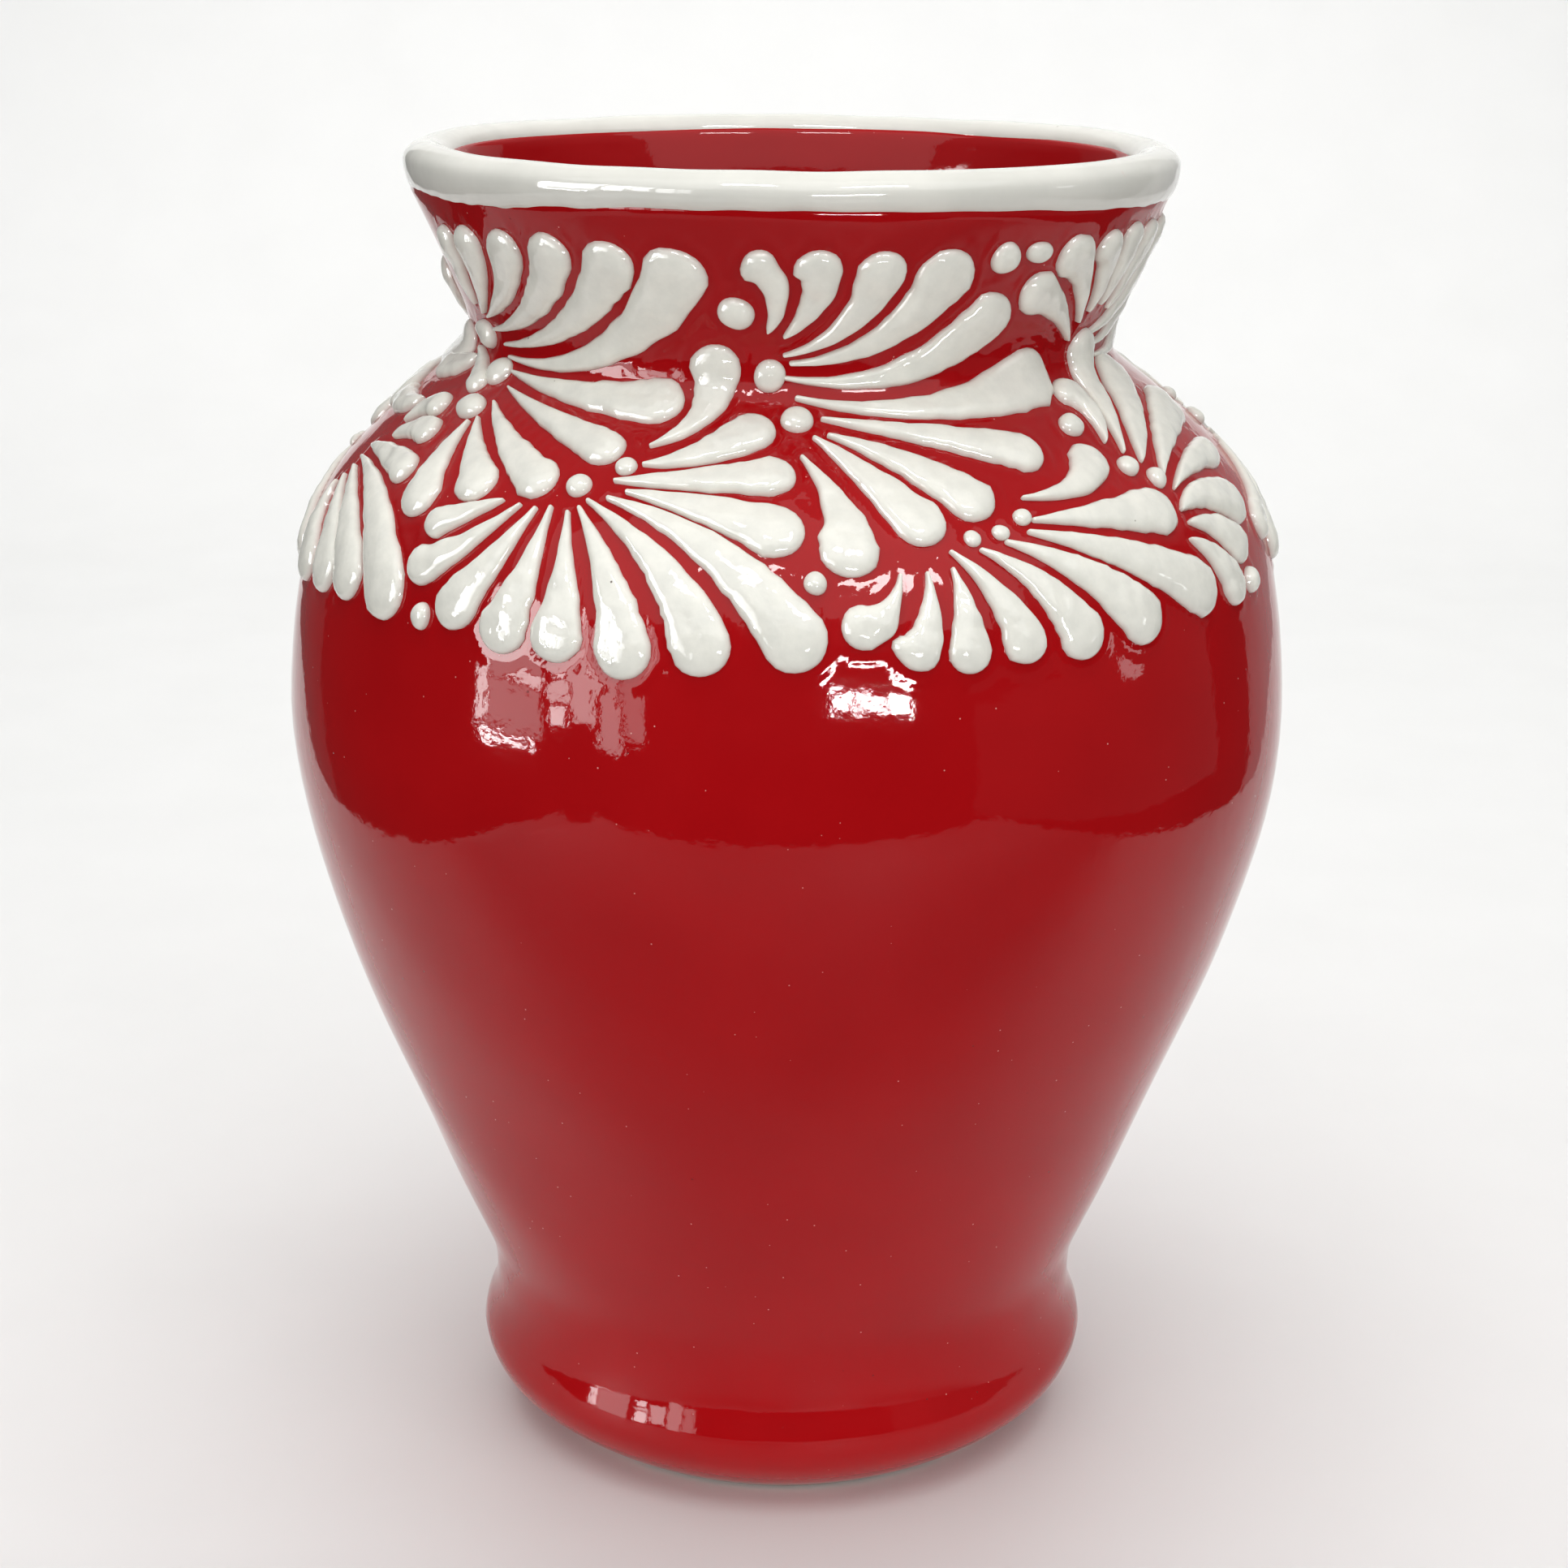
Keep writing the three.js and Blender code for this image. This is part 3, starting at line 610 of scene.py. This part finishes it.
def outside_rows():
    """(length up the profile, points round) of the rows from the foot to the neck's top."""
    low, high = length_at(RELIEF_FROM), length_at(RELIEF_TO)
    below = (low - 4) * np.linspace(0, 1, 56) ** 1.6  # closer together at the foot
    rows = [(length, COARSE) for length in below]
    rows += [(low - 2, MIDDLE)]
    rows += [(length, FINE) for length in np.arange(low, high, FINE_STEP)]
    return rows + [(high + 1, MIDDLE), (LENGTHS[-1], COARSE)]


def round_ring(radius, height):
    angle = np.arange(COARSE) * 2 * np.pi / COARSE
    return np.stack([radius * np.sin(angle), -radius * np.cos(angle), np.full(COARSE, height)], -1)


def ring_faces(counts):
    """Faces between rings whose point counts are equal or double, and a filled ring at each end."""
    faces, base = [tuple(range(counts[0]))[::-1]], 0
    for low, high in zip(counts[:-1], counts[1:]):
        above = base + low
        sides = min(low, high)
        a, b = low // sides, high // sides
        for k in range(sides):
            lower = [base + (k * a + i) % low for i in range(a + 1)]
            upper = [above + (k * b + i) % high for i in range(b + 1)]
            faces.append(tuple(lower + upper[::-1]))
        base = above
    faces.append(tuple(range(base, base + counts[-1])))
    return faces


def thrown_pot():
    """The body: out from under the foot, up the outside, over the lip and down the inside."""
    tree = edge_tree()
    rings = [round_ring(r, z) for r, z in UNDERSIDE]
    for length, columns in outside_rows():
        azimuth = np.arange(columns) * 360 / columns
        ring = on_pot(azimuth, length, 0)
        if columns == FINE:
            away = np.array([tree.find(point)[2] for point in ring])
            ring = on_pot(azimuth, length, RIDGE * np.exp(-((away - RIDGE_AT) / RIDGE_WIDTH) ** 2))
        rings.append(ring)
    rings += [round_ring(r, z) for r, z in LIP]
    azimuth = np.arange(COARSE) * 360 / COARSE
    inside = np.linspace(length_at(INSIDE_FROM), length_at(INSIDE_TO), INSIDE_ROWS)
    rings += [on_pot(azimuth, length, -WALL) for length in inside]
    rings += [round_ring(r, z) for r, z in FLOOR]
    faces = ring_faces([len(ring) for ring in rings])
    new_piece("pot", np.vstack(rings), faces, RED_GLAZE, "vase_body")


RIM_RISE = 4.1  # mm from the roll's middle to its top
RIM_DROP, RIM_SIDE_DROP = 4.3, 3.7  # mm it reaches below its middle, and more at the two sides
RIM_COLUMNS = 480


def rolled_rim():
    """The white roll round the mouth, a little uneven."""
    angle = np.radians(np.linspace(-70, 250, 48))  # round the section, from its outer lower side
    turn = np.arange(RIM_COLUMNS) * 2 * np.pi / RIM_COLUMNS
    ring = np.stack([np.sin(turn), -np.cos(turn)], -1)
    sway = 0.22 * Waves(11, 2, 0.35, 1.2).at(ring)[:, None]
    sag = 0.20 * Waves(12, 2, 0.25, 0.9).at(ring)[:, None]
    ragged = 0.2 * Waves(13, 2, 0.06, 0.3).at(ring)[:, None]
    below = RIM_DROP + RIM_SIDE_DROP * ring[:, :1] ** 2 + ragged
    radius = RIM_RADIUS + RIM_HALF_WIDTH * np.cos(angle) + sway
    height = RIM_TOP - RIM_RISE + np.sin(angle) * np.where(np.sin(angle) < 0, below, RIM_RISE) + sag
    points = np.stack([radius * ring[:, :1], radius * ring[:, 1:], height], -1)
    faces = []
    count = len(angle)
    for i in range(RIM_COLUMNS):
        for k in range(count):
            j, m = (i + 1) % RIM_COLUMNS, (k + 1) % count
            faces.append((i * count + k, j * count + k, j * count + m, i * count + m))
    new_piece("rim", points.reshape(-1, 3), faces, WHITE_GLAZE, "rim_roll")


thrown_pot()
rolled_rim()

# ---- table, backdrop, light and camera, all in metres -----------------------------------

TABLE_FRONT, TABLE_BACK = -0.515, 0.9
BACKDROP_RISE, BACKDROP_TOP = 0.45, 1.6  # radius of the bend behind, and the backdrop's height
HALF_WIDTH, EXTRA_BEHIND = 0.41, 0.18  # half its width beside the pot, and what is added behind
WIDENS_FROM, WIDENS_OVER = 0.2, 0.5
SURROUND_RADIUS = 6


def table_white_with_painted_shade():
    """White, but grey as painted shade on the stretch in front that the camera only sees mirrored in the
    glaze.
    """
    n = Nodes("table_white_with_painted_shade")
    white = n.mix(n.noise(60, 2), (0.78, 0.78, 0.77), (0.82, 0.82, 0.81))
    depth = n.node("SeparateXYZ", Vector=n.place()).outputs["Y"]
    # Painted shade: grey on the table in front of the pot
    grey = n.ramp(n.math("ADD", depth, 0.5), [(0.12, 0.48), (0.26, 0.26)])
    whiter = n.node("MapRange", {"interpolation_type": "SMOOTHSTEP"},
                    Value=depth, From_Min=-0.2, From_Max=-0.08)
    return n.finish(Base_Color=n.mix(whiter.outputs["Result"], grey, white), Roughness=0.6)


def table_sheet():
    """A pale table in front that sweeps up into a wide backdrop behind."""
    flat = np.linspace(TABLE_FRONT, TABLE_BACK, 30)
    bend = np.linspace(0, np.pi / 2, 14)[1:]
    ys = np.concatenate([flat, TABLE_BACK + BACKDROP_RISE * np.sin(bend), [TABLE_BACK + BACKDROP_RISE]])
    zs = np.concatenate([0 * flat, BACKDROP_RISE * (1 - np.cos(bend)), [BACKDROP_TOP]])
    widen = np.clip((ys - WIDENS_FROM) / WIDENS_OVER, 0, 1)
    half = HALF_WIDTH + EXTRA_BEHIND * widen**2 * (3 - 2 * widen)
    columns = np.linspace(-1, 1.1, 22)  # a little wider on the right
    points = [(half[i] * c, ys[i], zs[i]) for i in range(len(ys)) for c in columns]
    faces = []
    for i in range(len(ys) - 1):
        for k in range(len(columns) - 1):
            a = i * len(columns) + k
            faces.append((a, a + 1, a + 1 + len(columns), a + len(columns)))
    mesh = bpy.data.meshes.new("table")
    mesh.from_pydata(points, [], faces)
    mesh.polygons.foreach_set("use_smooth", [True] * len(mesh.polygons))
    mesh.materials.append(table_white_with_painted_shade())
    table = bpy.data.objects.new("table", mesh)
    bpy.context.scene.collection.objects.link(table)


def pale_surround():
    """A pale sphere far round the table, which the camera sees but the vase doesn't mirror."""
    mesh = bpy.data.meshes.new("surround")
    sphere = bmesh.new()
    bmesh.ops.create_uvsphere(sphere, u_segments=48, v_segments=24, radius=SURROUND_RADIUS)
    sphere.to_mesh(mesh)
    sphere.free()
    material = Nodes("surround").finish(Base_Color=(0.8, 0.8, 0.79), Roughness=1.0,
                                        Emission_Color=(0.82, 0.82, 0.81), Emission_Strength=1.0)
    material.cycles.emission_sampling = "NONE"
    mesh.materials.append(material)
    surround = bpy.data.objects.new("surround", mesh)
    surround.visible_diffuse = False
    surround.visible_glossy = False
    surround.visible_shadow = False
    bpy.context.scene.collection.objects.link(surround)


SHOULDER = Vector((0, -0.1, 0.205))  # the front of it, which most lights face
WINDOW_DISTANCE = 2.4
NEAR_WINDOW = 0.6  # near enough that the foot doesn't mirror it

# What the glaze mirrors: (name, left, right, bottom, top, radiance), azimuths and elevations in
# degrees as seen from the shoulder, with azimuth 0 towards the camera and positive to the right
PANES = [
    ("left_top", -74, -57, 1.2, 24, 21),
    ("left_side", -74.5, -72, -7, 0.8, 22),
    ("left_dim", -71.5, -57, -7, 0.6, 6),
    ("left_sill", -73, -59, -8.8, -7.8, 50),
    ("middle_top", -55, -49.6, 0.5, 22, 16),
    ("middle_low", -54.5, -50.2, -5, -0.6, 24),
    ("middle_side", -48.8, -43, -3, 20, 12),
    ("right_a", -41.5, -36.5, -6.5, 18, 8),
    ("right_b", -35.8, -31, -4.5, 18, 5),
    ("bright_a", 7.6, 13.5, 2.6, 5.6, 110, NEAR_WINDOW),
    ("bright_b", 14.2, 21.5, 2.4, 5.7, 70, NEAR_WINDOW),
    ("bright_c", 22.2, 28, 2.0, 5.8, 130, NEAR_WINDOW),
    ("far_right", 80, 86, 2, 6, 5),
    ("dim_right", 42, 110, -20, 6, 0.16),
    ("dim_left", -172, -128, -26, 30, 0.09),
    ("edge_right", 128, 168, -30, 20, 0.4),
    ("low_left", -150, -55, -48, -27, 0.9),
    ("low_right", 55, 140, -48, -28, 0.8),
    ("ceiling", -50, 50, 27, 85, 1.3),
    ("lamp_left", -24, -8, 50, 56, 40),
    ("lamp_right", 22, 38, 44, 50, 40),
]
# What lights the shapes: (name, place, aimed at, width, height, radiance)
LAMPS = [
    ("overhead", (0, -0.2, 2.0), (0, 0, 0.2), 2.4, 2.4, 1.4),
    ("front", (0, -2.3, 0.5), SHOULDER, 1.4, 1.0, 2.6),
    ("front_left", (-1.5, -1.8, 0.4), SHOULDER, 1.8, 1.8, 1.38),
    ("front_right", (1.5, -1.8, 0.7), SHOULDER, 1.8, 1.8, 1.5),
    ("back", (0, 0.9, 1.1), SHOULDER, 1.4, 1.4, 0.5),
    ("backdrop", (0, 0.1, 1.5), (0, 1.2, 0.4), 1.6, 0.6, 1.5),
]


def direction(azimuth, elevation):
    a, e = math.radians(azimuth), math.radians(elevation)
    return Vector((math.sin(a) * math.cos(e), -math.cos(a) * math.cos(e), math.sin(e)))


def add_light(name, place, aim, width, height, radiance, mirrored=False):
    """A rectangle of light that only the gloss mirrors, or that only lights what is matt."""
    data = bpy.data.lights.new(name, "AREA")
    data.shape = "RECTANGLE"
    data.size, data.size_y = width, height
    data.energy = radiance * math.pi * width * height
    lamp = bpy.data.objects.new(name, data)
    lamp.location = place
    lamp.rotation_euler = (Vector(aim) - Vector(place)).to_track_quat("-Z", "Y").to_euler()
    lamp.visible_glossy = mirrored
    lamp.visible_diffuse = not mirrored
    bpy.context.scene.collection.objects.link(lamp)


def add_pane(name, left, right, bottom, top, radiance, away=WINDOW_DISTANCE):
    """A window pane by the azimuths and elevations of its edges, seen from the shoulder."""
    place = SHOULDER + direction((left + right) / 2, (bottom + top) / 2) * away
    width, height = (2 * away * math.tan(math.radians(angle) / 2)
                     for angle in (right - left, top - bottom))
    add_light(name, place, SHOULDER, width, height, radiance, mirrored=True)


table_sheet()
pale_surround()
for pane in PANES:
    add_pane(*pane)
for lamp in LAMPS:
    add_light(*lamp)

# The room that the glaze mirrors: (sine of the elevation, grey)
ROOM_GREYS = [(0.0, 0.05), (0.28, 0.09), (0.5, 0.46)]


def room():
    """A world of dim walls and a paler ceiling."""
    world = bpy.data.worlds.new("room")
    world.use_nodes = True
    tree = world.node_tree
    place = tree.nodes.new("ShaderNodeTexCoord").outputs["Generated"]
    split = tree.nodes.new("ShaderNodeSeparateXYZ")
    ramp = tree.nodes.new("ShaderNodeValToRGB")
    tree.links.new(place, split.inputs[0])
    tree.links.new(split.outputs["Z"], ramp.inputs["Fac"])
    tree.links.new(ramp.outputs["Color"], tree.nodes["Background"].inputs["Color"])
    ramp.color_ramp.elements.new(0.5)
    for element, (position, grey) in zip(ramp.color_ramp.elements, ROOM_GREYS):
        element.position = position
        element.color = (grey, grey, grey, 1)
    bpy.context.scene.world = world


room()

CAMERA_PLACE = (0, -0.640, 0.353)
CAMERA_TILT, CAMERA_ROLL = 72.8, 0.486  # degrees from looking straight down, and about the view

camera_data = bpy.data.cameras.new("camera")
camera_data.lens = 64.62
camera_data.sensor_width = 36
camera_data.shift_x = -0.0014
camera_data.clip_start = 0.01
camera = bpy.data.objects.new("camera", camera_data)
tilt = Matrix.Rotation(math.radians(CAMERA_TILT), 4, "X")
roll = Matrix.Rotation(math.radians(CAMERA_ROLL), 4, "Z")
camera.matrix_world = Matrix.Translation(CAMERA_PLACE) @ tilt @ roll
bpy.context.scene.collection.objects.link(camera)
bpy.context.scene.camera = camera
bpy.context.scene.view_settings.view_transform = "Standard"
